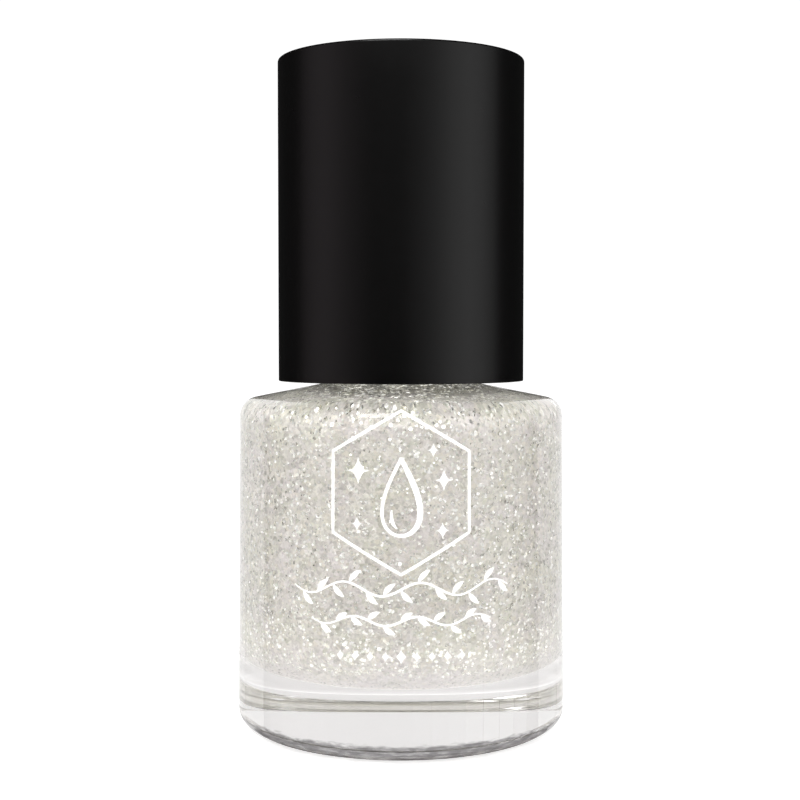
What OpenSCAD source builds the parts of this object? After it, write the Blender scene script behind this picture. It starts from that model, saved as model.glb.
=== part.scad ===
// Round nail polish bottle with a screw cap and brush, standing on the XY plane, axis along +Z.
// Millimetres. The origin is the centre of the base.

/* [Glass body] */
// Greatest diameter of the body, just above the heel
body_d = 26.5; // [25.5:0.1:29]
// How much the radius shrinks from the heel to the shoulder
body_draft = 0.2; // [0:0.05:0.4]
// Height at which the straight side ends
side_z = 25.3; // [24:0.1:25.6]
// Radius of the shoulder's outer corner
corner_r = 1.5; // [1:0.1:2]
// Fall of the shoulder towards the side, in degrees
shoulder_fall = 11.4; // [8:0.1:13]
// Thickness of the side wall just above the cavity's floor
wall = 2.2; // [1.8:0.1:2.6]
// Thickness of the side wall below the shoulder
wall_top = 1.2; // [1:0.1:2.2]
// Thickness of the shoulder
shoulder_t = 1.2; // [1:0.1:2]
// Thickness of the solid glass base
base_t = 5; // [4:0.1:6]
// Radius between the cavity's floor and its wall
cavity_fillet = 3.3; // [2:0.1:4]

/* [Neck finish] */
// Diameter of the neck between the thread's turns
neck_d = 11.5; // [11.3:0.05:11.6]
// Diameter over the thread
thread_d = 12.9; // [12.7:0.05:13]
// Diameter of the bore through the neck
bore_d = 6.8; // [6.4:0.1:7]
// Height of the rim above the table
rim_z = 39.2; // [39:0.1:40]
// Rise of the thread in one turn, 12 turns to the inch
pitch = 2.117; // [2.1:0.001:2.13]

/* [Cap] */
// Outer diameter of the overcap
cap_d = 19.85; // [19.6:0.05:21]
// Wall thickness of the overcap
cap_wall = 1.125; // [1:0.025:1.25]
// Height of the overcap's lower edge above the table
cap_z = 28.1; // [28:0.1:28.5]
// Height of the overcap
cap_h = 25.7; // [24.5:0.1:28]
// Number of fins between the inner cap and the overcap
fins = 12; // [8:1:16]

/* [Brush] */
// Diameter of the rod
rod_d = 3.2; // [3:0.1:3.4]
// Height of the rod's lower end above the table, with the cap closed
rod_z = 20; // [19:0.5:22]
// Height of the bristles' tips above the table, with the cap closed
tip_z = 7; // [6.5:0.1:9]
// Greatest diameter of the tuft
tuft_d = 3.6; // [3:0.1:3.8]

/* [Contents] */
// Height of the polish's surface above the table
fill_z = 24.4; // [22:0.1:25.4]
// Diameter of a mixing ball
ball_d = 4; // [3.5:0.1:4.2]
// Radius of the circle that the balls roll round
ball_track_r = 7; // [6.6:0.1:7.2]

/* [Hidden] */
$fn = 96;

body_r = body_d / 2;
top_r = body_r - body_draft;
neck_r = neck_d / 2;
bore_r = bore_d / 2;
cap_r = cap_d / 2;
cap_bore_r = cap_r - cap_wall;
rod_r = rod_d / 2;
ball_r = ball_d / 2;

// Glass details
heel_w = 2.6;
heel_h = 1.6;
bearing_w = 1.5;
pushup = 0.5;
neck_fillet = 0.6;
rim_r = 0.35;
flare_r = 2;
cavity_corner_r = 0.9;

// The two thread ridges share one pitch and run on each other with a small gap
ridge_step = 15;
ridge_lap = 0.2;
ridge_run_out = 45;
neck_ridge_turn = 540;
neck_ridge_z = 34.4;
cap_ridge_turn = 300;
cap_ridge_drop = 0.97;
cap_ridge_r = thread_d / 2 - 0.5;
neck_ridge_w = 0.85;
neck_crest_w = 0.3;
cap_ridge_w = 0.62;
cap_crest_w = 0.2;

// How far a joined piece is sunk into its neighbour
sink = 0.2;

// Inner cap
skirt_bore_r = 6.6;
skirt_wall = 1;
skirt_z = cap_z + 0.3;
washer_t = 0.8;
washer_gap = 0.2;
ceiling_z = rim_z + washer_t;
ceiling_t = 1.2;
flange_t = 0.8;
press_gap = 0.05;
flange_r = cap_bore_r - press_gap;
fin_r = skirt_bore_r + skirt_wall / 2;
fin_t = 0.9;
boss_r = 3.6;
boss_h = 2.8;
plug_h = 3;
plug_r = 2.4;
bead_z = ceiling_z + 2;
bead_h = 0.8;
bead_out = 0.15;
turn_gap = 0.05;

// Overcap
cap_top_t = 1.4;
cap_edge_r = 0.35;
cap_ribs = 6;
rib_t = 0.8;
rib_r = 4.6;
rib_z = ceiling_z + ceiling_t;
cap_roof_z = cap_z + cap_h - cap_top_t;
snap_out = 0.2;
snap_h = 0.27;

// Brush
rod_edge = 0.2;
head_r = 2.9;
head_h = 2;
head_taper = 2.2;
socket_r = 1.15;
socket_h = 3.2;
tuft_root_r = 1.1;
tuft_root_h = 2.9;
tuft_swell = 6;
staple_r = 0.25;
staple_len = 2;
staple_z = rod_z + 2.4;

// Gaps between the polish and what stands in it
film = 0.02;
well_r = tuft_d / 2 + 0.35;
well_z = tip_z - 0.4;
track_gap = 0.25;
ball_z = base_t + ball_r + film;

// Points along an arc about c, from angle a0 to a1
function arc(c, r, a0, a1, n = 8) =
    [for (i = [0:n]) let (a = a0 + (a1 - a0) * i / n) c + r * [cos(a), sin(a)]];

// Height of the shoulder's outer cone at radius r
function shoulder_z(r) =
    side_z + corner_r * cos(shoulder_fall)
    + (top_r - corner_r + corner_r * sin(shoulder_fall) - r) * tan(shoulder_fall);

// Height of the cavity's ceiling, which runs parallel to the shoulder
function cavity_top_z(r) = shoulder_z(r) - shoulder_t / cos(shoulder_fall);

// Quarter ellipse of the heel, from the bearing ring out and up to the side
function heel() =
    [for (a = [0:10:90]) [body_r - heel_w + heel_w * sin(a), heel_h * (1 - cos(a))]];

// Outline of the glass from the centre of the base up to the rim's inner edge
function glass_outside() = concat(
    [[0, pushup], [body_r - heel_w - bearing_w - 0.8, pushup], [body_r - heel_w - bearing_w, 0]],
    heel(),
    arc([top_r - corner_r, side_z], corner_r, 0, 90 - shoulder_fall),
    arc([neck_r + neck_fillet, shoulder_z(neck_r + neck_fillet) + neck_fillet / cos(shoulder_fall)],
        neck_fillet, 270 - shoulder_fall, 180, 4),
    arc([neck_r - rim_r, rim_z - rim_r], rim_r, 0, 90, 4),
    arc([bore_r + rim_r, rim_z - rim_r], rim_r, 90, 180, 4));

// Outline of the cavity from the neck's bore down to the middle of the floor, drawn in by gap
function cavity(gap = 0) = concat(
    arc([bore_r + flare_r, cavity_top_z(bore_r + flare_r) + flare_r / cos(shoulder_fall)],
        flare_r + gap, 180, 270 - shoulder_fall),
    arc([top_r - wall_top - cavity_corner_r,
         cavity_top_z(top_r - wall_top - cavity_corner_r) - cavity_corner_r / cos(shoulder_fall)],
        cavity_corner_r - gap, 90 - shoulder_fall, 0),
    arc([body_r - wall - cavity_fillet, base_t + cavity_fillet], cavity_fillet - gap, 0, -90),
    [[0, base_t + gap]]);

// A thread ridge in short level steps up a helix, run out at both ends
module ridge(base_r, crest_r, base_w, crest_w, turn, z) {
    for (a = [ridge_step / 2:ridge_step:turn]) {
        h = min(1, a / ridge_run_out, (turn - a) / ridge_run_out);
        r = base_r + (crest_r - base_r) * h;
        w = base_w + (crest_w - base_w) * h;
        translate([0, 0, z + pitch * a / 360]) rotate(a - ridge_step / 2 - ridge_lap)
            rotate_extrude(angle = ridge_step + 2 * ridge_lap)
                polygon([[base_r, -base_w], [r, -w], [r, w], [base_r, base_w]]);
    }
}

// Clear glass bottle: thick base, straight side, sloping shoulder and threaded neck
module bottle() {
    color("lightcyan", 0.5) union() {
        rotate_extrude() polygon(concat(glass_outside(), cavity()));
        ridge(neck_r - sink, thread_d / 2, neck_ridge_w, neck_crest_w, neck_ridge_turn, neck_ridge_z);
    }
}

// The polish, with room for the brush and for the track of the two balls
module polish() {
    color("gainsboro") rotate_extrude() difference() {
        intersection() {
            polygon(concat([[0, rim_z]], cavity(film)));
            square([body_r, fill_z]);
        }
        translate([0, well_z]) square([well_r, rim_z]);
        translate([ball_track_r, ball_z]) circle(ball_r + track_gap);
    }
}

module mixing_ball(side) {
    color("silver") translate([side * ball_track_r, 0, ball_z]) sphere(ball_r);
}

// Tall plain cylinder closed at the top, with ribs that bear on the inner cap
module overcap() {
    color([0.05, 0.05, 0.05]) {
        rotate_extrude() polygon(concat(
            [[0, cap_roof_z], [cap_bore_r, cap_roof_z],
             [cap_bore_r, cap_z + 2 * snap_h], [cap_bore_r - snap_out, cap_z + snap_h],
             [cap_bore_r - snap_out, cap_z], [cap_r, cap_z]],
            arc([cap_r - cap_edge_r, cap_z + cap_h - cap_edge_r], cap_edge_r, 0, 90, 6),
            [[0, cap_z + cap_h]]));
        for (i = [0:cap_ribs - 1]) rotate(i * 360 / cap_ribs)
            translate([rib_r, -rib_t / 2, rib_z])
                cube([cap_bore_r + sink - rib_r, rib_t, cap_roof_z + sink - rib_z]);
    }
}

// Threaded liner cap inside the overcap, with the socket that holds the brush
module inner_cap() {
    color([0.12, 0.12, 0.12]) {
        difference() {
            union() {
                translate([0, 0, skirt_z])
                    cylinder(r = skirt_bore_r + skirt_wall, h = ceiling_z + ceiling_t - skirt_z);
                translate([0, 0, skirt_z]) cylinder(r = flange_r, h = flange_t);
                translate([0, 0, ceiling_z]) cylinder(r = boss_r, h = ceiling_t + boss_h);
                for (i = [0:fins - 1]) rotate(i * 360 / fins)
                    translate([fin_r, -fin_t / 2, skirt_z])
                        cube([flange_r - fin_r, fin_t, ceiling_z - skirt_z]);
            }
            translate([0, 0, skirt_z - 1]) cylinder(r = skirt_bore_r, h = ceiling_z - skirt_z + 1);
            translate([0, 0, ceiling_z - 1]) cylinder(r = plug_r + turn_gap, h = plug_h + 1 + turn_gap);
            translate([0, 0, bead_z - turn_gap])
                cylinder(r = plug_r + bead_out + turn_gap, h = bead_h + 2 * turn_gap);
        }
        ridge(skirt_bore_r + sink, cap_ridge_r, cap_ridge_w, cap_crest_w, cap_ridge_turn,
              neck_ridge_z - cap_ridge_drop);
    }
}

// Loose sealing washer, which lies on the rim and is kept in the cap by the top of its thread
module washer() {
    color("white") translate([0, 0, rim_z]) difference() {
        cylinder(r = skirt_bore_r - 0.3, h = washer_t);
        translate([0, 0, -1]) cylinder(r = head_r + washer_gap, h = washer_t + 2);
    }
}

// Rod of the brush, with its snap-in plug at the top and the tuft's socket at the bottom
module wand() {
    color("ivory") rotate_extrude() polygon([
        [0, rod_z + socket_h], [socket_r, rod_z + socket_h], [socket_r, rod_z], [rod_r - rod_edge, rod_z],
        [rod_r, rod_z + rod_edge], [rod_r, ceiling_z - head_h - head_taper], [head_r, ceiling_z - head_h],
        [head_r, ceiling_z], [plug_r, ceiling_z], [plug_r, bead_z],
        [plug_r + bead_out, bead_z + bead_h / 4], [plug_r + bead_out, bead_z + bead_h * 3 / 4],
        [plug_r, bead_z + bead_h], [plug_r, ceiling_z + plug_h - 0.3], [plug_r - 0.3, ceiling_z + plug_h],
        [0, ceiling_z + plug_h]]);
}

// Tuft of nylon filaments, drawn as one closed shape and folded over the staple
module bristles() {
    tuft_r = tuft_d / 2;
    color("dimgray") difference() {
        rotate_extrude() polygon(concat(
            [[0, tip_z]],
            [for (a = [0:15:75]) [tuft_r * sin(a), tip_z + tuft_r * (1 - cos(a)) * 0.8]],
            [[tuft_r, tip_z + tuft_swell / 2], [tuft_r * 0.95, tip_z + tuft_swell],
             [tuft_root_r, rod_z], [tuft_root_r, rod_z + tuft_root_h], [0, rod_z + tuft_root_h]]));
        translate([-tuft_d, 0, staple_z]) rotate([0, 90, 0]) cylinder(r = staple_r + film, h = 2 * tuft_d);
    }
}

// Short wire across the socket, which the tuft is folded over
module staple() {
    color("goldenrod") translate([-staple_len / 2, 0, staple_z]) rotate([0, 90, 0])
        cylinder(r = staple_r, h = staple_len);
}

bottle();
polish();
mixing_ball(1);  // mixing_ball_1
mixing_ball(-1);  // mixing_ball_2
overcap();
inner_cap();
washer();
wand();
bristles();
staple();
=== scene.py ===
import math
import random
from itertools import accumulate

import bmesh
import bpy
from mathutils import Matrix, Vector


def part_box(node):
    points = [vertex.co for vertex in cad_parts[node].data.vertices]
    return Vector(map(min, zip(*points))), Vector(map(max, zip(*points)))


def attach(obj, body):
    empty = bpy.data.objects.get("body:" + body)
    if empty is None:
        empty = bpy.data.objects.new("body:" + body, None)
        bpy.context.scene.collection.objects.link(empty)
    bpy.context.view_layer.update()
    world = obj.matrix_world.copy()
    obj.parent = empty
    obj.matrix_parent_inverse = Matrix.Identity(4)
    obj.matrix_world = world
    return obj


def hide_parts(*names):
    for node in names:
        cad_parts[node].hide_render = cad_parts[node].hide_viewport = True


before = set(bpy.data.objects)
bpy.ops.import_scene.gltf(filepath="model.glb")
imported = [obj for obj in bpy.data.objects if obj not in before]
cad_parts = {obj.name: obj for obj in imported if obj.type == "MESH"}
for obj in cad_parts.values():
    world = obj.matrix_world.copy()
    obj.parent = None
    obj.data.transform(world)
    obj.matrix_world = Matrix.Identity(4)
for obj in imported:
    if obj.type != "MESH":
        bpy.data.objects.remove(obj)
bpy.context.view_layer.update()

MM = 0.001
TURN = 2 * math.pi
SEGMENTS = 256

# ---- Places and sizes, from the CAD boxes and the same details as the CAD part, in metres ----
_, bottle_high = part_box("bottle")
_, polish_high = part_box("polish")
cap_low, cap_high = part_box("overcap")
_, inner_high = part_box("inner_cap")
tuft_low, tuft_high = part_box("bristles")
wand_low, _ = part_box("wand")

BODY_R = bottle_high.x
RIM_Z = bottle_high.z
FILL_Z = polish_high.z
CAP_R = cap_high.x
CAP_Z = cap_low.z
CAP_TOP_Z = cap_high.z

DRAFT = 0.2 * MM
TOP_R = BODY_R - DRAFT
SIDE_Z = 25.3 * MM
CORNER_R = 1.5 * MM
FALL = math.radians(11.4)
WALL = 2.2 * MM
WALL_TOP = 1.2 * MM
SHOULDER_T = 1.2 * MM
BASE_T = 5 * MM
CAVITY_FILLET = 3.3 * MM
CAVITY_CORNER_R = 0.9 * MM
NECK_R = 5.75 * MM
BORE_R = 3.4 * MM
THREAD_R = 6.45 * MM
PITCH = 2.117 * MM
THREAD_Z = 34.4 * MM
THREAD_TURNS = 1.5
THREAD_FOOT = 0.74 * MM
THREAD_FLANK = 0.42 * MM
THREAD_CLEAR = 1.5 * MM
THREAD_FADE = 8
HEEL_W = 2.6 * MM
HEEL_H = 1.6 * MM
BEARING_W = 1.5 * MM
PUSHUP = 0.5 * MM
PUSHUP_RUN = 0.8 * MM
PUSHUP_ROUND = 0.5 * MM
BEARING_FLAT = 0.7 * MM
NECK_FILLET = 0.6 * MM
RIM_ROUND = 0.35 * MM
FLARE_R = 2 * MM
CONTACT = 0.02 * MM
COAT_T = 0.25 * MM
COAT_Z = 33.5 * MM
CAP_WALL = 1.125 * MM
CAP_ROOF_T = 1.4 * MM
CAP_LIP = 0.2 * MM
CAP_LIP_Z = (0.27 * MM, 0.54 * MM)
CAP_TOP_ROUND = 0.2 * MM
RIBS = 6
RIB_R = 4.6 * MM
RIB_T = 0.8 * MM
RIB_OVERLAP = 2.8 * MM
RIB_SINK = 0.1 * MM

# ---- The looks' own sizes ----
LARGE_CELL = 0.30 * MM
SMALL_CELL = 0.16 * MM
FLAKE_CELL = 0.25 * MM
FLAKE_SIZES = (0.08 * MM, 0.10 * MM, 0.12 * MM, 0.15 * MM)
FLAKE_COUNT = 17000
FLAKES_LOW_Z = BASE_T + 1.4 * MM
FLAKE_SWAY = 0.22
SHOULDER_SWAY = 0.7
SHOULDER_FLAKES_Z = SIDE_Z
FOOT_RAGGED = 0.35 * MM
FOOT_FULL_Z = 1.45 * MM
FOOT_TOP_Z = 1.7 * MM
INK_T = 0.03 * MM
INK_SUNK = 0.008 * MM
FILAMENTS = 190
FILAMENT_R = 0.045 * MM
GOLDEN_ANGLE = 2.39996

# ---- Light and camera, in metres and degrees ----
AIM = (0, 0, 0.03)
STRIP_DEG = 12.5
STRIP_AWAY = 0.5
STRIP_TALL = 0.5
STRIP_Z = 0.06
PANEL_AWAY = 0.6
PANEL_Z = 0.1
WORLD_WHITE = 1.06
WORLD_DIM = 0.02
CAMERA_PLACE = (-0.08 * MM, -121.7 * MM, 31.95 * MM)
CAMERA_DOWN_DEG = 2.564
CAMERA_LENS = 67.25


# ---- Mesh helpers ----
def finish_mesh(name, bm, smooth_deg=None):
    """Turns a bmesh into a linked object with outward normals."""
    bmesh.ops.recalc_face_normals(bm, faces=bm.faces)
    mesh = bpy.data.meshes.new(name)
    bm.to_mesh(mesh)
    bm.free()
    for face in mesh.polygons:
        face.use_smooth = True
    if smooth_deg is not None:
        mesh.set_sharp_from_angle(angle=math.radians(smooth_deg))
    obj = bpy.data.objects.new(name, mesh)
    bpy.context.scene.collection.objects.link(obj)
    return obj


def arc(cx, cz, r, a0, a1, n=16):
    """Points (r, z) along an arc; angles in radians."""
    return [(cx + r * math.cos(a0 + (a1 - a0) * i / n), cz + r * math.sin(a0 + (a1 - a0) * i / n))
            for i in range(n + 1)]


def span(a, b, n):
    """Points strictly between a and b, which keep long faces short."""
    return [(a[0] + (b[0] - a[0]) * i / n, a[1] + (b[1] - a[1]) * i / n) for i in range(1, n)]


def rounded(points, r, n=5):
    """An open outline with each inner corner rounded to radius r at most."""
    out = [points[0]]
    for before, here, after in zip(points, points[1:], points[2:]):
        p = Vector(here)
        a = Vector(before) - p
        b = Vector(after) - p
        half = a.angle(b) / 2
        cut = min(r / math.tan(half), a.length * 0.45, b.length * 0.45)
        start, end = p + a.normalized() * cut, p + b.normalized() * cut
        for i in range(n + 1):
            t = i / n
            out.append(tuple(start.lerp(p, t).lerp(p.lerp(end, t), t)))
    out.append(points[-1])
    return out


def revolve(bm, outline, bulge=None):
    """Turns an outline of (r, z) about the axis. bulge(angle, r, z) gives a new radius."""
    rings = []
    for r, z in outline:
        if r < 1e-7:
            rings.append([bm.verts.new((0, 0, z))])
            continue
        ring = []
        for i in range(SEGMENTS):
            a = TURN * i / SEGMENTS
            rr = bulge(a, r, z) if bulge else r
            ring.append(bm.verts.new((rr * math.cos(a), rr * math.sin(a), z)))
        rings.append(ring)
    for low, high in zip(rings, rings[1:]):
        for i in range(SEGMENTS):
            j = (i + 1) % SEGMENTS
            if len(low) == 1:
                bm.faces.new((low[0], high[i], high[j]))
            elif len(high) == 1:
                bm.faces.new((low[i], high[0], low[j]))
            else:
                bm.faces.new((low[i], high[i], high[j], low[j]))


def revolved(name, outline, bulge=None, smooth_deg=None):
    bm = bmesh.new()
    revolve(bm, outline, bulge)
    return finish_mesh(name, bm, smooth_deg)


# ---- Material helpers ----
class Nodes:
    """Short calls for building a node material round one Principled shader."""

    def __init__(self, name):
        self.material = bpy.data.materials.new(name)
        self.material.use_nodes = True
        self.tree = self.material.node_tree
        self.shader = self.tree.nodes["Principled BSDF"]
        self.coords = self.add("ShaderNodeTexCoord").outputs["Object"]

    def add(self, kind, **settings):
        node = self.tree.nodes.new(kind)
        for key, value in settings.items():
            setattr(node, key, value)
        return node

    def link(self, source, target):
        self.tree.links.new(source, target)

    def feed(self, socket, value):
        if hasattr(value, "links"):
            self.link(value, socket)
        else:
            socket.default_value = value

    def set(self, **values):
        """Plain values on the shader's inputs."""
        for key, value in values.items():
            self.shader.inputs[key.replace("_", " ")].default_value = value

    def drive(self, **sources):
        """Sockets linked to the shader's inputs."""
        for key, source in sources.items():
            self.link(source, self.shader.inputs[key.replace("_", " ")])

    def noise(self, scale, detail=2.0, roughness=0.5, coords=None):
        node = self.add("ShaderNodeTexNoise")
        node.inputs["Scale"].default_value = scale
        node.inputs["Detail"].default_value = detail
        node.inputs["Roughness"].default_value = roughness
        self.link(coords or self.coords, node.inputs["Vector"])
        return node.outputs["Fac"]

    def cells(self, scale):
        node = self.add("ShaderNodeTexVoronoi")
        node.inputs["Scale"].default_value = scale
        self.link(self.coords, node.inputs["Vector"])
        return node.outputs["Color"]

    def ramp(self, source, stops):
        node = self.add("ShaderNodeValToRGB")
        elements = node.color_ramp.elements
        while len(elements) > 1:
            elements.remove(elements[-1])
        for i, (place, colour) in enumerate(stops):
            element = elements[0] if i == 0 else elements.new(place)
            element.position = place
            element.color = (*colour, 1)
        self.link(source, node.inputs["Fac"])
        return node.outputs["Color"]

    def spread(self, source, low, high, from_low=0.0, from_high=1.0):
        node = self.add("ShaderNodeMapRange")
        node.inputs["From Min"].default_value = from_low
        node.inputs["From Max"].default_value = from_high
        node.inputs["To Min"].default_value = low
        node.inputs["To Max"].default_value = high
        self.link(source, node.inputs["Value"])
        return node.outputs["Result"]

    def mix(self, factor, a, b, blend="MIX"):
        node = self.add("ShaderNodeMix", data_type="RGBA", blend_type=blend)
        for key, value in (("Factor", factor), ("A", a), ("B", b)):
            socket = next(s for s in node.inputs if s.name == key and s.enabled)
            self.feed(socket, (*value, 1) if isinstance(value, tuple) else value)
        return next(s for s in node.outputs if s.enabled)

    def calculate(self, operation, *values):
        """A Math node on sockets or numbers."""
        node = self.add("ShaderNodeMath", operation=operation)
        for socket, value in zip(node.inputs, values):
            self.feed(socket, value)
        return node.outputs[0]

    def vector(self, operation, *values):
        """A Vector Math node on sockets, vectors or numbers."""
        node = self.add("ShaderNodeVectorMath", operation=operation)
        for socket, value in zip((s for s in node.inputs if s.enabled), values):
            self.feed(socket, value)
        return next(s for s in node.outputs if s.enabled)

    def height(self):
        node = self.add("ShaderNodeSeparateXYZ")
        self.link(self.coords, node.inputs["Vector"])
        return node.outputs["Z"]

    def channels(self, colour):
        node = self.add("ShaderNodeSeparateColor")
        self.link(colour, node.inputs["Color"])
        return node.outputs

    def bump(self, height, strength, distance):
        node = self.add("ShaderNodeBump")
        node.inputs["Strength"].default_value = strength
        node.inputs["Distance"].default_value = distance
        self.link(height, node.inputs["Height"])
        self.drive(Normal=node.outputs["Normal"])


def clear_glass():
    """Clear glass, with a grey streaked band of painted shade round the heel and bearing ring,
    in place of the shaded underside of the polish seen through the heel.

    The painted shade only tints light that enters from outside, so the far side of the base stays clear.
    """
    m = Nodes("clear_glass")
    m.set(Roughness=0.0, IOR=1.5, Transmission_Weight=1.0)
    stretch = m.add("ShaderNodeMapping")
    stretch.inputs["Scale"].default_value = (1, 1, 5)
    m.link(m.coords, stretch.inputs["Vector"])
    streaky = stretch.outputs["Vector"]
    ragged = m.spread(m.noise(900, 3.0, 0.6, streaky), -FOOT_RAGGED, FOOT_RAGGED)
    foot = m.spread(m.calculate("ADD", m.height(), ragged), 1.0, 0.0, FOOT_FULL_Z, FOOT_TOP_Z)
    entering = m.calculate("SUBTRACT", 1.0, m.add("ShaderNodeNewGeometry").outputs["Backfacing"])
    # Painted shade: dark grey streaks tint the band round the heel.
    heel_painted_shade = m.ramp(m.noise(700, 4.0, 0.65, streaky), [
        (0.32, (0.05, 0.047, 0.048)), (0.5, (0.12, 0.114, 0.117)), (0.68, (0.32, 0.31, 0.312))])
    thick = m.spread(m.height(), 1.0, 0.0, BASE_T + 0.5 * MM, BASE_T + 4 * MM)
    clear = m.mix(thick, (0.93, 0.915, 0.91), (0.80, 0.785, 0.78))
    m.drive(Base_Color=m.mix(m.calculate("MULTIPLY", entering, foot), clear, heel_painted_shade))
    m.bump(m.noise(160, 2.0), 0.05, 0.02 * MM)
    return m.material


def glitter_polish():
    """Packed flakes: each Voronoi cell is one flake, with its own tilt, tone and tint.

    It glows a little near the base and on the shoulder: painted light in place of light scattered by the
    lacquer, and where the cap leaves it in shade. Its colour is also painted paler just above the base, as
    painted light on its shaded underside.
    """
    m = Nodes("glitter_polish")
    large = m.cells(1 / LARGE_CELL)
    tone, fine = m.channels(large), m.channels(m.cells(1 / SMALL_CELL))
    base = m.ramp(tone["Red"], [
        (0.0, (0.56, 0.555, 0.55)), (0.12, (0.74, 0.735, 0.73)), (0.55, (0.84, 0.835, 0.825)),
        (0.84, (0.90, 0.895, 0.885)), (0.9, (0.99, 0.99, 0.98)), (1.0, (1.0, 1.0, 1.0))])
    flecks = m.ramp(fine["Red"], [
        (0.0, (0.62, 0.615, 0.61)), (0.2, (0.78, 0.775, 0.77)), (0.8, (0.88, 0.875, 0.865)),
        (0.93, (0.98, 0.98, 0.97)), (1.0, (1.0, 1.0, 1.0))])
    tint = m.ramp(tone["Green"], [
        (0.0, (1.0, 0.97, 0.88)), (0.3, (1.0, 0.99, 0.97)),
        (0.7, (1.0, 0.985, 0.985)), (1.0, (0.97, 1.0, 0.90))])
    patches = m.ramp(m.noise(420, 2.0), [(0.35, (1.0, 0.97, 0.965)), (0.65, (0.99, 0.985, 0.915))])
    packed = m.mix(0.7, m.mix(0.45, base, flecks), tint, "MULTIPLY")
    colour = m.mix(1.0, packed, patches, "MULTIPLY")
    z = m.height()
    # Painted light: the colour turns paler towards the base, lifting the shade on the underside.
    painted_light_low = m.spread(z, 0.7, 0.0, BASE_T + 0.1 * MM, BASE_T + 3 * MM)
    lit_low_colour = m.mix(painted_light_low, colour, (0.98, 0.965, 0.96))
    above_base = m.spread(z, 0.16, 0.0, BASE_T + 0.5 * MM, BASE_T + 5 * MM)
    on_base = m.spread(z, 0.22, 0.0, BASE_T + 0.05 * MM, BASE_T + 0.3 * MM)
    on_shoulder = m.ramp(m.spread(z, 0.0, 1.0, SIDE_Z - 0.5 * MM, SIDE_Z + CORNER_R), [
        (0.2, (0, 0, 0)), (0.35, (0.1, 0.1, 0.1)), (0.6, (0.2, 0.2, 0.2)), (0.95, (0.02, 0.02, 0.02))])
    glow = m.calculate("ADD", m.calculate("ADD", above_base, on_base), on_shoulder)
    m.set(Metallic=0.1)
    m.drive(Base_Color=lit_low_colour, Emission_Color=lit_low_colour, Emission_Strength=glow,
            Roughness=m.spread(fine["Green"], 0.22, 0.5))
    tilt = m.vector("SCALE", m.vector("SUBTRACT", large, (0.5, 0.5, 0.5)), 0.6)
    lean = m.vector("ADD", m.add("ShaderNodeNewGeometry").outputs["Normal"], tilt)
    m.drive(Normal=m.vector("NORMALIZE", lean))
    return m.material


def glitter_flake():
    """Loose flakes. A few glow on the shoulder, and all of them near the base, as the polish does there."""
    m = Nodes("glitter_flake")
    split = m.channels(m.cells(1 / FLAKE_CELL))
    tint = m.ramp(split["Blue"], [
        (0.0, (1.0, 0.98, 0.88)), (0.35, (1.0, 1.0, 0.99)),
        (0.7, (0.98, 1.0, 0.93)), (1.0, (1.0, 0.99, 1.0))])
    light = m.ramp(split["Red"], [
        (0.0, (0.62, 0.62, 0.61)), (0.45, (0.80, 0.80, 0.79)),
        (0.75, (0.90, 0.90, 0.89)), (1.0, (0.98, 0.98, 0.97))])
    colour = m.mix(1.0, light, tint, "MULTIPLY")
    z = m.height()
    glint = m.ramp(split["Green"], [
        (0.0, (0.02, 0.02, 0.02)), (0.5, (0.1, 0.1, 0.1)), (0.65, (0.7, 0.7, 0.7)), (1.0, (1.0, 1.0, 1.0))])
    above_side = m.spread(z, 0.0, 1.0, SHOULDER_FLAKES_Z, SHOULDER_FLAKES_Z + MM)
    on_shoulder = m.calculate("MULTIPLY", above_side, glint)
    near_base = m.spread(z, 0.35, 0.0, BASE_T + 2.5 * MM, BASE_T + 6 * MM)
    m.set(Metallic=0.75)
    m.drive(Base_Color=colour, Emission_Color=colour,
            Emission_Strength=m.calculate("ADD", on_shoulder, near_base),
            Roughness=m.spread(split["Green"], 0.18, 0.38))
    return m.material


def black_plastic():
    """Smooth gloss plastic, nearly black."""
    m = Nodes("black_plastic")
    m.set(Specular_IOR_Level=0.45)
    tone = m.ramp(m.noise(90, 3.0), [(0.3, (0.0014, 0.0012, 0.0012)), (0.7, (0.0019, 0.0016, 0.0017))])
    m.drive(Base_Color=tone, Roughness=m.spread(m.noise(700, 4.0, 0.6), 0.26, 0.31))
    m.bump(m.noise(260, 2.0), 0.04, 0.02 * MM)
    return m.material


def moulded_plastic(name, colour, roughness, grain=0.05):
    """Satin moulded plastic with a fine grain."""
    m = Nodes(name)
    dark = tuple(c * 0.93 for c in colour)
    m.drive(Base_Color=m.ramp(m.noise(350, 3.0), [(0.3, dark), (0.7, colour)]),
            Roughness=m.spread(m.noise(2500, 3.0), roughness - 0.05, roughness + 0.05))
    m.bump(m.noise(4000, 3.0), grain, 0.03 * MM)
    return m.material


def metal(name, colour, roughness):
    """Drawn or rolled metal, a little worn."""
    m = Nodes(name)
    worn = tuple(c * 0.85 for c in colour)
    m.set(Metallic=1.0)
    m.drive(Base_Color=m.ramp(m.noise(900, 4.0), [(0.35, worn), (0.65, colour)]),
            Roughness=m.spread(m.noise(1800, 4.0), roughness - 0.05, roughness + 0.08))
    return m.material


def nylon():
    """Dark glossy filaments."""
    m = Nodes("nylon")
    m.set(Roughness=0.35)
    tone = m.ramp(m.noise(1500, 2.0), [(0.3, (0.035, 0.032, 0.03)), (0.7, (0.075, 0.07, 0.065))])
    m.drive(Base_Color=tone)
    return m.material


def white_ink():
    """Opaque ink, slightly uneven."""
    m = Nodes("white_ink")
    m.set(Roughness=0.45)
    tone = m.ramp(m.noise(1200, 4.0), [(0.3, (0.86, 0.858, 0.83)), (0.7, (0.92, 0.915, 0.89))])
    m.drive(Base_Color=tone)
    m.bump(m.noise(5000, 3.0), 0.1, 0.01 * MM)
    return m.material


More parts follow.
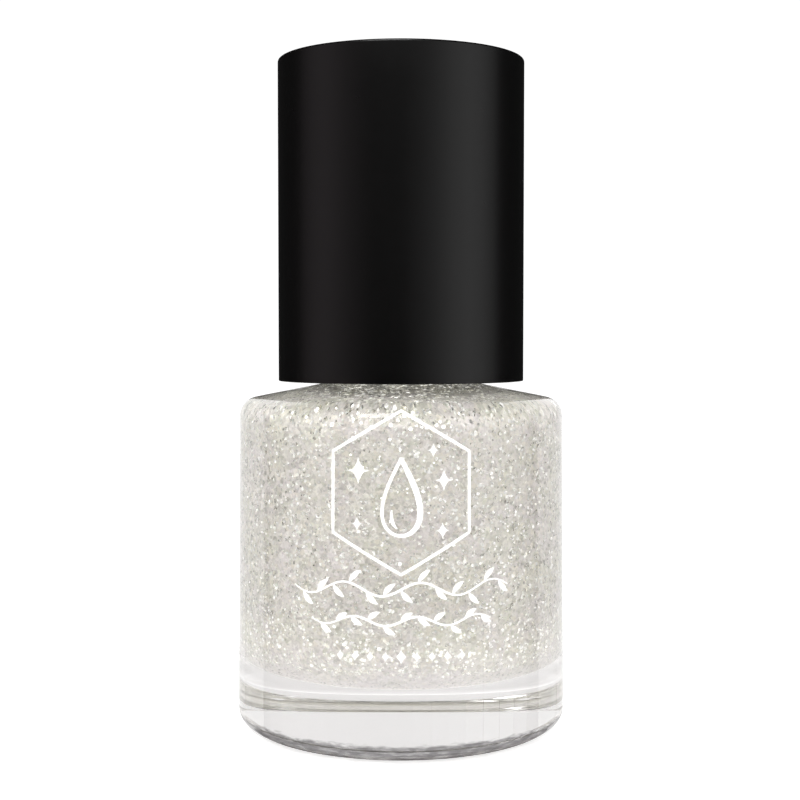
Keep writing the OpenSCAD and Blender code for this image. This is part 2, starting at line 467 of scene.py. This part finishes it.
def stage_white():
    """Plain white that gives off light close to the bottle, like a light table."""
    m = Nodes("stage_white")
    m.set(Roughness=0.9, Specular_IOR_Level=0.0, Emission_Color=(1, 1, 1, 1))
    glow = m.spread(m.vector("LENGTH", m.coords), 0.6, 0.06, 13.5 * MM, 19 * MM)
    tone = m.ramp(m.noise(3, 2.0), [(0.3, (0.975, 0.975, 0.975)), (0.7, (0.985, 0.985, 0.985))])
    m.drive(Base_Color=tone, Emission_Strength=glow)
    return m.material


# ---- Outlines of the glass ----
def shoulder_z(r):
    start_r = TOP_R - CORNER_R + CORNER_R * math.sin(FALL)
    return SIDE_Z + CORNER_R * math.cos(FALL) + (start_r - r) * math.tan(FALL)


def cavity_top_z(r):
    return shoulder_z(r) - SHOULDER_T / math.cos(FALL)


def side_r(z):
    """Outer radius of the straight side at height z."""
    return BODY_R - DRAFT * (z - HEEL_H) / (SIDE_Z - HEEL_H)


def heel():
    return [(BODY_R - HEEL_W + HEEL_W * math.sin(a), HEEL_H * (1 - math.cos(a)))
            for a in (math.pi / 2 * i / 24 for i in range(25))]


def glass_outside():
    ring_r = BODY_R - HEEL_W - BEARING_W
    fillet_r = NECK_R + NECK_FILLET
    base = rounded([(0, PUSHUP), (ring_r - PUSHUP_RUN, PUSHUP), (ring_r, 0), (ring_r + BEARING_FLAT, 0)],
                   PUSHUP_ROUND)
    side = span((BODY_R, HEEL_H), (TOP_R, SIDE_Z), 12)
    corner = arc(TOP_R - CORNER_R, SIDE_Z, CORNER_R, 0, math.pi / 2 - FALL, 20)
    fillet = arc(fillet_r, shoulder_z(fillet_r) + NECK_FILLET / math.cos(FALL),
                 NECK_FILLET, 1.5 * math.pi - FALL, math.pi, 8)
    slope = span(corner[-1], fillet[0], 8)
    neck = span(fillet[-1], (NECK_R, RIM_Z - RIM_ROUND), 80)
    rim = arc(NECK_R - RIM_ROUND, RIM_Z - RIM_ROUND, RIM_ROUND, 0, math.pi / 2, 8)
    lip = arc(BORE_R + RIM_ROUND, RIM_Z - RIM_ROUND, RIM_ROUND, math.pi / 2, math.pi, 8)
    return base + heel() + side + corner + slope + fillet + neck + rim + lip


def cavity_outline(out=0.0):
    """The cavity from the neck down to the middle of the floor, pushed out into the glass by out."""
    flare_r = BORE_R + FLARE_R
    flare = arc(flare_r, cavity_top_z(flare_r) + FLARE_R / math.cos(FALL), FLARE_R - out,
                math.pi, 1.5 * math.pi - FALL, 14)
    corner_r = TOP_R - WALL_TOP - CAVITY_CORNER_R
    corner = arc(corner_r, cavity_top_z(corner_r) - CAVITY_CORNER_R / math.cos(FALL), CAVITY_CORNER_R + out,
                 math.pi / 2 - FALL, 0, 16)
    floor = arc(BODY_R - WALL - CAVITY_FILLET, BASE_T + CAVITY_FILLET, CAVITY_FILLET + out,
                0, -math.pi / 2, 24)
    roof = span(flare[-1], corner[0], 6)
    wall = span(corner[-1], floor[0], 10)
    bottom = [(floor[-1][0] * i / 6, BASE_T - out) for i in range(5, 0, -1)]
    return flare + roof + corner + wall + floor + bottom + [(0, BASE_T - out)]


def thread_bulge(angle, r, z):
    """Radius of the neck with a smooth thread ridge that runs out at both ends."""
    if r < NECK_R - 0.01 * MM or z < THREAD_Z - THREAD_CLEAR:
        return r
    best = 0.0
    for turn in range(2):
        along = angle / TURN + turn
        if along > THREAD_TURNS:
            continue
        run_out = min(1.0, along * THREAD_FADE, (THREAD_TURNS - along) * THREAD_FADE)
        away = abs(z - THREAD_Z - PITCH * along)
        rise = min(1.0, max(0.0, (THREAD_FOOT - away) / THREAD_FLANK))
        best = max(best, rise * rise * (3 - 2 * rise) * run_out)
    return r + (THREAD_R - NECK_R) * best


# ---- Pieces ----
def make_bottle():
    outline = glass_outside() + cavity_outline()
    obj = revolved("glass_bottle", outline, thread_bulge)
    obj.data.materials.append(clear_glass())
    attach(obj, "bottle")
    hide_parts("bottle")
    return obj


def polish_outline():
    """The polish, and the coat that clings to the shoulder and neck above its surface.

    Its skin lies a hair inside the glass, as a wetted wall looks.
    """
    inner = [(r, z) for r, z in [(BORE_R - COAT_T, COAT_Z)] + cavity_outline(-COAT_T) if z > FILL_Z]
    surface = [(0, FILL_Z), (inner[-1][0] * 0.5, FILL_Z), (inner[-1][0] - 0.3 * MM, FILL_Z)]
    return surface + inner[::-1], [(BORE_R + CONTACT, COAT_Z)] + cavity_outline(CONTACT)


def make_polish():
    top, skin = polish_outline()
    obj = revolved("polish_fill", top + skin, smooth_deg=60)
    obj.data.materials.append(glitter_polish())
    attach(obj, "bottle")
    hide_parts("polish")


def make_flakes():
    """Hexagonal flakes lying in the lacquer against the glass, each with its own tilt."""
    rng = random.Random(7)
    outline = polish_outline()[1]
    lengths = [math.dist(a, b) * (a[0] + b[0]) / 2 for a, b in zip(outline, outline[1:])]
    totals = list(accumulate(w * (a[1] > FLAKES_LOW_Z) * (2 if a[1] > SHOULDER_FLAKES_Z else 1)
                             for w, a in zip(lengths, outline)))
    bm = bmesh.new()
    for _ in range(FLAKE_COUNT):
        i = rng.choices(range(len(lengths)), cum_weights=totals)[0]
        (r0, z0), (r1, z1) = outline[i], outline[i + 1]
        t = rng.random()
        r, z = r0 + (r1 - r0) * t, z0 + (z1 - z0) * t
        a = rng.uniform(0, TURN)
        along = Vector((r1 - r0, 0, z1 - z0)).normalized()
        normal = Vector((-along.z, 0, along.x))
        sway = SHOULDER_SWAY if z > SHOULDER_FLAKES_Z else FLAKE_SWAY
        tilt = Matrix.Rotation(rng.gauss(0, sway), 3, "Y") @ Matrix.Rotation(rng.gauss(0, sway), 3, "Z")
        size = rng.choice(FLAKE_SIZES)
        spin = rng.uniform(0, TURN)
        u = tilt @ along
        v = tilt @ Vector((0, 1, 0))
        centre = Vector((r, 0, z)) + normal * 0.035 * MM
        turn = Matrix.Rotation(a, 3, "Z")
        verts = [bm.verts.new(turn @ (centre + size * (math.cos(spin + TURN * k / 6) * u
                                                       + math.sin(spin + TURN * k / 6) * v)))
                 for k in range(6)]
        bm.faces.new(verts)
    mesh = bpy.data.meshes.new("glitter_flakes")
    bm.to_mesh(mesh)
    bm.free()
    obj = bpy.data.objects.new("glitter_flakes", mesh)
    bpy.context.scene.collection.objects.link(obj)
    obj.data.materials.append(glitter_flake())
    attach(obj, "bottle")


def make_overcap():
    """A tall plain cap with a small lip inside its mouth, and ribs that bear on the inner cap."""
    inner_r = CAP_R - CAP_WALL
    lip_r = inner_r - CAP_LIP
    roof_z = CAP_TOP_Z - CAP_ROOF_T
    lip_low, lip_high = CAP_LIP_Z
    inside = rounded([(0, roof_z), (inner_r, roof_z), (inner_r, CAP_Z + lip_high), (lip_r, CAP_Z + lip_low),
                      (lip_r, CAP_Z), (CAP_R, CAP_Z)], 0.12 * MM)
    mouth = rounded([(CAP_R - 0.5 * MM, CAP_Z), (CAP_R, CAP_Z), (CAP_R, CAP_Z + MM)], 0.08 * MM, 4)
    outside = rounded([(CAP_R, CAP_Z + MM), (CAP_R, CAP_TOP_Z), (0, CAP_TOP_Z)], CAP_TOP_ROUND, 8)
    outline = inside[:-1] + mouth[:-1] + outside
    long_side = [i for i in range(len(outline) - 1) if math.dist(outline[i], outline[i + 1]) > 8 * MM]
    for i in reversed(long_side):
        outline[i + 1:i + 1] = span(outline[i], outline[i + 1], 8)
    bm = bmesh.new()
    revolve(bm, outline)
    low, high = inner_high.z - RIB_OVERLAP, roof_z + RIB_SINK
    end_r = inner_r + RIB_SINK
    place = Matrix.Translation(((RIB_R + end_r) / 2, 0, (low + high) / 2))
    size = Matrix.Diagonal((end_r - RIB_R, RIB_T, high - low, 1))
    for k in range(RIBS):
        turn = Matrix.Rotation(TURN * k / RIBS, 4, "Z")
        rib = bmesh.ops.create_cube(bm, size=1, matrix=turn @ place @ size)
        edges = {e for v in rib["verts"] for e in v.link_edges}
        bmesh.ops.bevel(bm, geom=list(edges), offset=0.12 * MM, segments=3, affect="EDGES")
    obj = finish_mesh("black_overcap", bm, 40)
    obj.data.materials.append(black_plastic())
    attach(obj, "cap")
    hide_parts("overcap")


def make_bristles():
    """Nylon filaments from the rod's socket to a rounded tip."""
    rng = random.Random(11)
    root_r, full_r = 1.05 * MM, tuft_high.x * 0.94
    top_z, tip_z, mouth_z = tuft_high.z, tuft_low.z, wand_low.z
    steps, sides = 12, 5
    corners = [Vector((math.cos(TURN * j / sides), math.sin(TURN * j / sides), 0)) for j in range(sides)]
    bm = bmesh.new()
    for i in range(FILAMENTS):
        share = math.sqrt((i + 0.5) / FILAMENTS)
        a = i * GOLDEN_ANGLE
        start_r, spread_r = share * root_r, share * full_r
        end_z = tip_z + full_r * (1 - math.sqrt(max(0.0, 1 - share * share))) * 1.5
        end_z += rng.uniform(0, 0.25) * MM
        bend = rng.uniform(-0.12, 0.12) * MM
        rings = []
        for k in range(steps + 1):
            t = k / steps
            z = top_z + (end_z - top_z) * t
            down = max(0.0, (mouth_z - z) / (mouth_z - end_z))
            swell = math.sin(min(1.0, down * 1.5) * math.pi / 2)
            gather = share * 0.25 * MM * max(0, down - 0.6) / 0.4
            r = start_r + (spread_r - start_r) * swell - gather
            bent = a + bend * down / max(r, 0.3 * MM)
            centre = Vector((r * math.cos(bent), r * math.sin(bent), z))
            width = FILAMENT_R * (1 - 0.55 * max(0, t - 0.7) / 0.3)
            rings.append([bm.verts.new(centre + corner * width) for corner in corners])
        for low, high in zip(rings, rings[1:]):
            for j in range(sides):
                bm.faces.new((low[j], low[(j + 1) % sides], high[(j + 1) % sides], high[j]))
        bm.faces.new(rings[0])
        bm.faces.new(rings[-1])
    obj = finish_mesh("nylon_filaments", bm, 50)
    obj.data.materials.append(nylon())
    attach(obj, "brush")
    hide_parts("bristles")


# ---- Print ----
def on_glass(s, z, out):
    """A point on the front of the glass: s along the surface from the middle, z up."""
    r = side_r(z) + out
    a = s / BODY_R
    return (r * math.sin(a), -r * math.cos(a), z)


def ink_grid(bm, rows, closed=False):
    """Lays a grid of (s, z) points on the glass as a raised film of ink."""
    top = [[bm.verts.new(on_glass(s, z, INK_T)) for s, z in row] for row in rows]
    low = [[bm.verts.new(on_glass(s, z, -INK_SUNK)) for s, z in row] for row in rows]
    pairs = list(zip(range(len(rows) - 1), range(1, len(rows))))
    if closed:
        pairs.append((len(rows) - 1, 0))
    last = len(rows[0]) - 1
    for i, j in pairs:
        for k in range(last):
            bm.faces.new((top[i][k], top[i][k + 1], top[j][k + 1], top[j][k]))
            bm.faces.new((low[i][k], low[j][k], low[j][k + 1], low[i][k + 1]))
        for k in (0, last):
            bm.faces.new((top[i][k], top[j][k], low[j][k], low[i][k]))
    if not closed:
        for i in (0, len(rows) - 1):
            for k in range(last):
                bm.faces.new((top[i][k], low[i][k], low[i][k + 1], top[i][k + 1]))


def ink_line(bm, path, width, closed=False):
    """A stroke along path; width(t) with t from 0 to 1."""
    rows = []
    n = len(path)
    for i, (s, z) in enumerate(path):
        before = path[i - 1] if closed or i > 0 else path[i]
        after = path[(i + 1) % n] if closed or i < n - 1 else path[i]
        along = Vector((after[0] - before[0], after[1] - before[1])).normalized()
        side = Vector((-along.y, along.x)) * width(i / (n - 1)) / 2
        rows.append([(s - side.x, z - side.y), (s, z), (s + side.x, z + side.y)])
    ink_grid(bm, rows, closed)


def ink_shape(bm, middle_s, slices, columns=8):
    """A filled shape from slices (z, half width), symmetric about middle_s."""
    rows = [[(middle_s + half * (2 * k / columns - 1), z) for k in range(columns + 1)] for z, half in slices]
    ink_grid(bm, rows)


def diamond(bm, s, z, wide, high):
    """A diamond with hollow sides, wide and high to each side of its middle."""
    steps = 8
    slices = [(z + high * (2 * i / steps - 1), max(wide * (1 - abs(2 * i / steps - 1)) ** 1.5, 0.012 * MM))
              for i in range(steps + 1)]
    ink_shape(bm, s, slices, 4)


def print_emblem(bm):
    """A hexagon round an outlined drop, with a line of shine and five sparkles."""
    frame_z, frame_r, frame_line = 20.3 * MM, 6.0 * MM, 0.22 * MM
    corners = [(frame_r * math.sin(TURN * k / 6), frame_z + frame_r * math.cos(TURN * k / 6))
               for k in range(6)]
    path = []
    for a, b in zip(corners, corners[1:] + corners[:1]):
        path += [a] + span(a, b, 10)
    ink_line(bm, path, lambda t: frame_line, closed=True)
    drop_z, drop_wide, drop_high, points = 20.0, 1.95, 2.85, 72
    drop = [(drop_wide * MM * math.sin(t) * math.sin(t / 2) ** 1.3, (drop_z + drop_high * math.cos(t)) * MM)
            for t in (TURN * (i + 0.5) / points for i in range(points))]
    ink_line(bm, drop, lambda t: (0.24 + 0.2 * max(0.0, math.sin(TURN * t))) * MM, closed=True)
    shine_z, shine_wide, shine_high = 18.65, 0.72, 1.05
    shine = [(-shine_wide * MM * math.cos(a), (shine_z - shine_high * math.sin(a)) * MM)
             for a in (0.1 * i for i in range(-4, 13))]
    ink_line(bm, shine, lambda t: (0.06 + 0.2 * math.sin(math.pi * t)) * MM)
    sparkles = ((-3.2, 21.9, 0.95), (3.2, 21.2, 0.75), (2.4, 23.4, 0.5), (-3.3, 18.0, 0.5), (3.1, 17.5, 0.6))
    for s, z, size in sparkles:
        diamond(bm, s * MM, z * MM, size * 0.5 * MM, size * MM)
        diamond(bm, s * MM, z * MM, size * MM * 0.9, size * 0.28 * MM)


def print_vine(bm, reach, z, tall, leaves):
    """A waved stem with leaves above and below it by turns, with sizes in millimetres."""
    steps, leaf_long = 120, 0.85
    stem = [(reach * t, z + tall * math.sin(1.5 * TURN * t))
            for t in (2 * i / steps - 1 for i in range(steps + 1))]
    ink_line(bm, [(s * MM, stem_z * MM) for s, stem_z in stem],
             lambda t: (0.08 + 0.09 * math.sin(math.pi * t)) * MM)
    for k in range(leaves):
        s, root_z = stem[round(steps * (k + 0.7) / (leaves + 0.4))]
        side = 1 if k % 2 else -1
        leaf = [((s + leaf_long * u) * MM, (root_z + side * tall * 2.2 * u ** 0.7 * (1 - 0.15 * u)) * MM)
                for u in (i / 10 for i in range(11))]
        ink_line(bm, leaf, lambda t: (0.05 + 0.36 * math.sin(math.pi * t ** 0.8)) * MM)


def print_row(bm):
    """Nine small diamonds, the middle one larger."""
    row_z, pitch = 8.25 * MM, 1.15
    for k in range(-4, 5):
        size = 0.52 if k == 0 else 0.36
        diamond(bm, k * pitch * MM, row_z, size * 0.7 * MM, size * MM)


def make_print():
    """The white print on the front, with no lettering."""
    bm = bmesh.new()
    print_emblem(bm)
    print_vine(bm, 8.6, 13.2, 0.5, 13)
    print_vine(bm, 7.0, 10.85, 0.34, 11)
    print_row(bm)
    obj = finish_mesh("front_print", bm, 40)
    obj.data.materials.append(white_ink())
    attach(obj, "bottle")


def dress_cad_nodes():
    """Finished materials for the CAD nodes whose shape is kept."""
    looks = {
        "inner_cap": moulded_plastic("dark_plastic", (0.028, 0.027, 0.028), 0.45),
        "washer": moulded_plastic("white_liner", (0.82, 0.82, 0.79), 0.6, 0.2),
        "wand": moulded_plastic("white_plastic", (0.70, 0.69, 0.66), 0.35),
        "staple": metal("staple_brass", (0.78, 0.6, 0.3), 0.25),
        "mixing_ball_1": metal("ball_steel", (0.62, 0.62, 0.63), 0.15),
        "mixing_ball_2": metal("ball_steel_2", (0.62, 0.62, 0.63), 0.15),
    }
    for node, material in looks.items():
        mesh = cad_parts[node].data
        mesh.materials.clear()
        mesh.materials.append(material)
        for face in mesh.polygons:
            face.use_smooth = True
        mesh.set_sharp_from_angle(angle=math.radians(35))


# ---- Stage, light and camera ----
def make_stage():
    bm = bmesh.new()
    bmesh.ops.create_grid(bm, x_segments=40, y_segments=40, size=6)
    floor = finish_mesh("floor", bm)
    floor.data.materials.append(stage_white())
    floor.visible_glossy = False


def area_light(name, place, target, size, power, colour=(1, 1, 1)):
    data = bpy.data.lights.new(name, "AREA")
    data.shape = "RECTANGLE"
    data.size, data.size_y = size
    data.energy = power
    data.color = colour
    obj = bpy.data.objects.new(name, data)
    obj.location = place
    obj.rotation_euler = (Vector(target) - Vector(place)).to_track_quat("-Z", "Y").to_euler()
    obj.visible_camera = False
    bpy.context.scene.collection.objects.link(obj)
    return obj


def around(azimuth, distance, height):
    """A place at azimuth degrees from the front, towards +X."""
    a = math.radians(azimuth)
    return (distance * math.sin(a), -distance * math.cos(a), height)


def panel(name, azimuth, distance, height, size, radiance, colour=(1, 1, 1)):
    """A light that faces the bottle, with the power that gives it this radiance at its size."""
    power = radiance * math.pi * size[0] * size[1]
    return area_light(name, around(azimuth, distance, height), AIM, size, power, colour)


def make_lights(glass):
    """Strips draw the soft reflections on the cap; panels behind and beside light the glass alone."""
    glass_only = bpy.data.collections.new("glass_only")
    glass_only.objects.link(glass)
    strips = (
        (14, 0.15), (27, 0.30), (39, 0.49), (51, 0.74), (64, 0.90), (77, 0.72), (90, 0.40),
        (-37, 0.08), (-48, 0.17), (-60, 0.29), (-72, 0.38), (-84, 0.31), (-96, 0.18),
        (180, 0.45))
    strip_size = (STRIP_AWAY * math.radians(STRIP_DEG), STRIP_TALL)
    for azimuth, radiance in strips:
        colour = (1, 1, 1) if azimuth > 0 else (1, 0.88, 0.92)
        strip = panel("strip", azimuth, STRIP_AWAY, STRIP_Z, strip_size, radiance, colour)
        strip.visible_transmission = False
    area_light("front_top", around(-12, 0.55, 0.6), AIM, (0.5, 0.35), 3.7)
    for azimuth in (-155, -125, 125, 155):
        rim = panel("glass_rim", azimuth, PANEL_AWAY, PANEL_Z, (0.33, 0.9), 1.0)
        rim.visible_transmission = False
        rim.light_linking.receiver_collection = glass_only
    for azimuth in (-70, 70):
        fill = panel("side_fill", azimuth, PANEL_AWAY, PANEL_Z, (0.35, 0.6), 0.8)
        fill.visible_glossy = False
        fill.light_linking.receiver_collection = glass_only


def make_world():
    """White to the camera and through glass, and dim to reflections."""
    world = bpy.data.worlds.new("studio")
    bpy.context.scene.world = world
    world.use_nodes = True
    nodes, links = world.node_tree.nodes, world.node_tree.links
    plain, dim = nodes["Background"], nodes.new("ShaderNodeBackground")
    for background, strength in ((plain, WORLD_WHITE), (dim, WORLD_DIM)):
        background.inputs["Color"].default_value = (1, 1, 1, 1)
        background.inputs["Strength"].default_value = strength
    path = nodes.new("ShaderNodeLightPath")
    reflected = nodes.new("ShaderNodeMath")
    reflected.operation = "SUBTRACT"
    reflected.use_clamp = True
    mix = nodes.new("ShaderNodeMixShader")
    links.new(path.outputs["Is Glossy Ray"], reflected.inputs[0])
    links.new(path.outputs["Is Transmission Ray"], reflected.inputs[1])
    links.new(reflected.outputs[0], mix.inputs["Fac"])
    links.new(plain.outputs["Background"], mix.inputs[1])
    links.new(dim.outputs["Background"], mix.inputs[2])
    links.new(mix.outputs["Shader"], nodes["World Output"].inputs["Surface"])


def make_camera():
    data = bpy.data.cameras.new("camera")
    data.sensor_width = 36
    data.lens = CAMERA_LENS
    data.clip_start = 0.001
    obj = bpy.data.objects.new("camera", data)
    obj.location = CAMERA_PLACE
    obj.rotation_euler = (math.radians(90 - CAMERA_DOWN_DEG), 0, 0)
    bpy.context.scene.collection.objects.link(obj)
    bpy.context.scene.camera = obj


bpy.context.scene.view_settings.view_transform = "Standard"
bpy.context.scene.cycles.max_bounces = 20
bpy.context.scene.cycles.glossy_bounces = 12
bpy.context.scene.cycles.transmission_bounces = 20
make_camera()
make_stage()
make_lights(make_bottle())
make_world()
make_polish()
make_flakes()
make_overcap()
make_bristles()
make_print()
dress_cad_nodes()
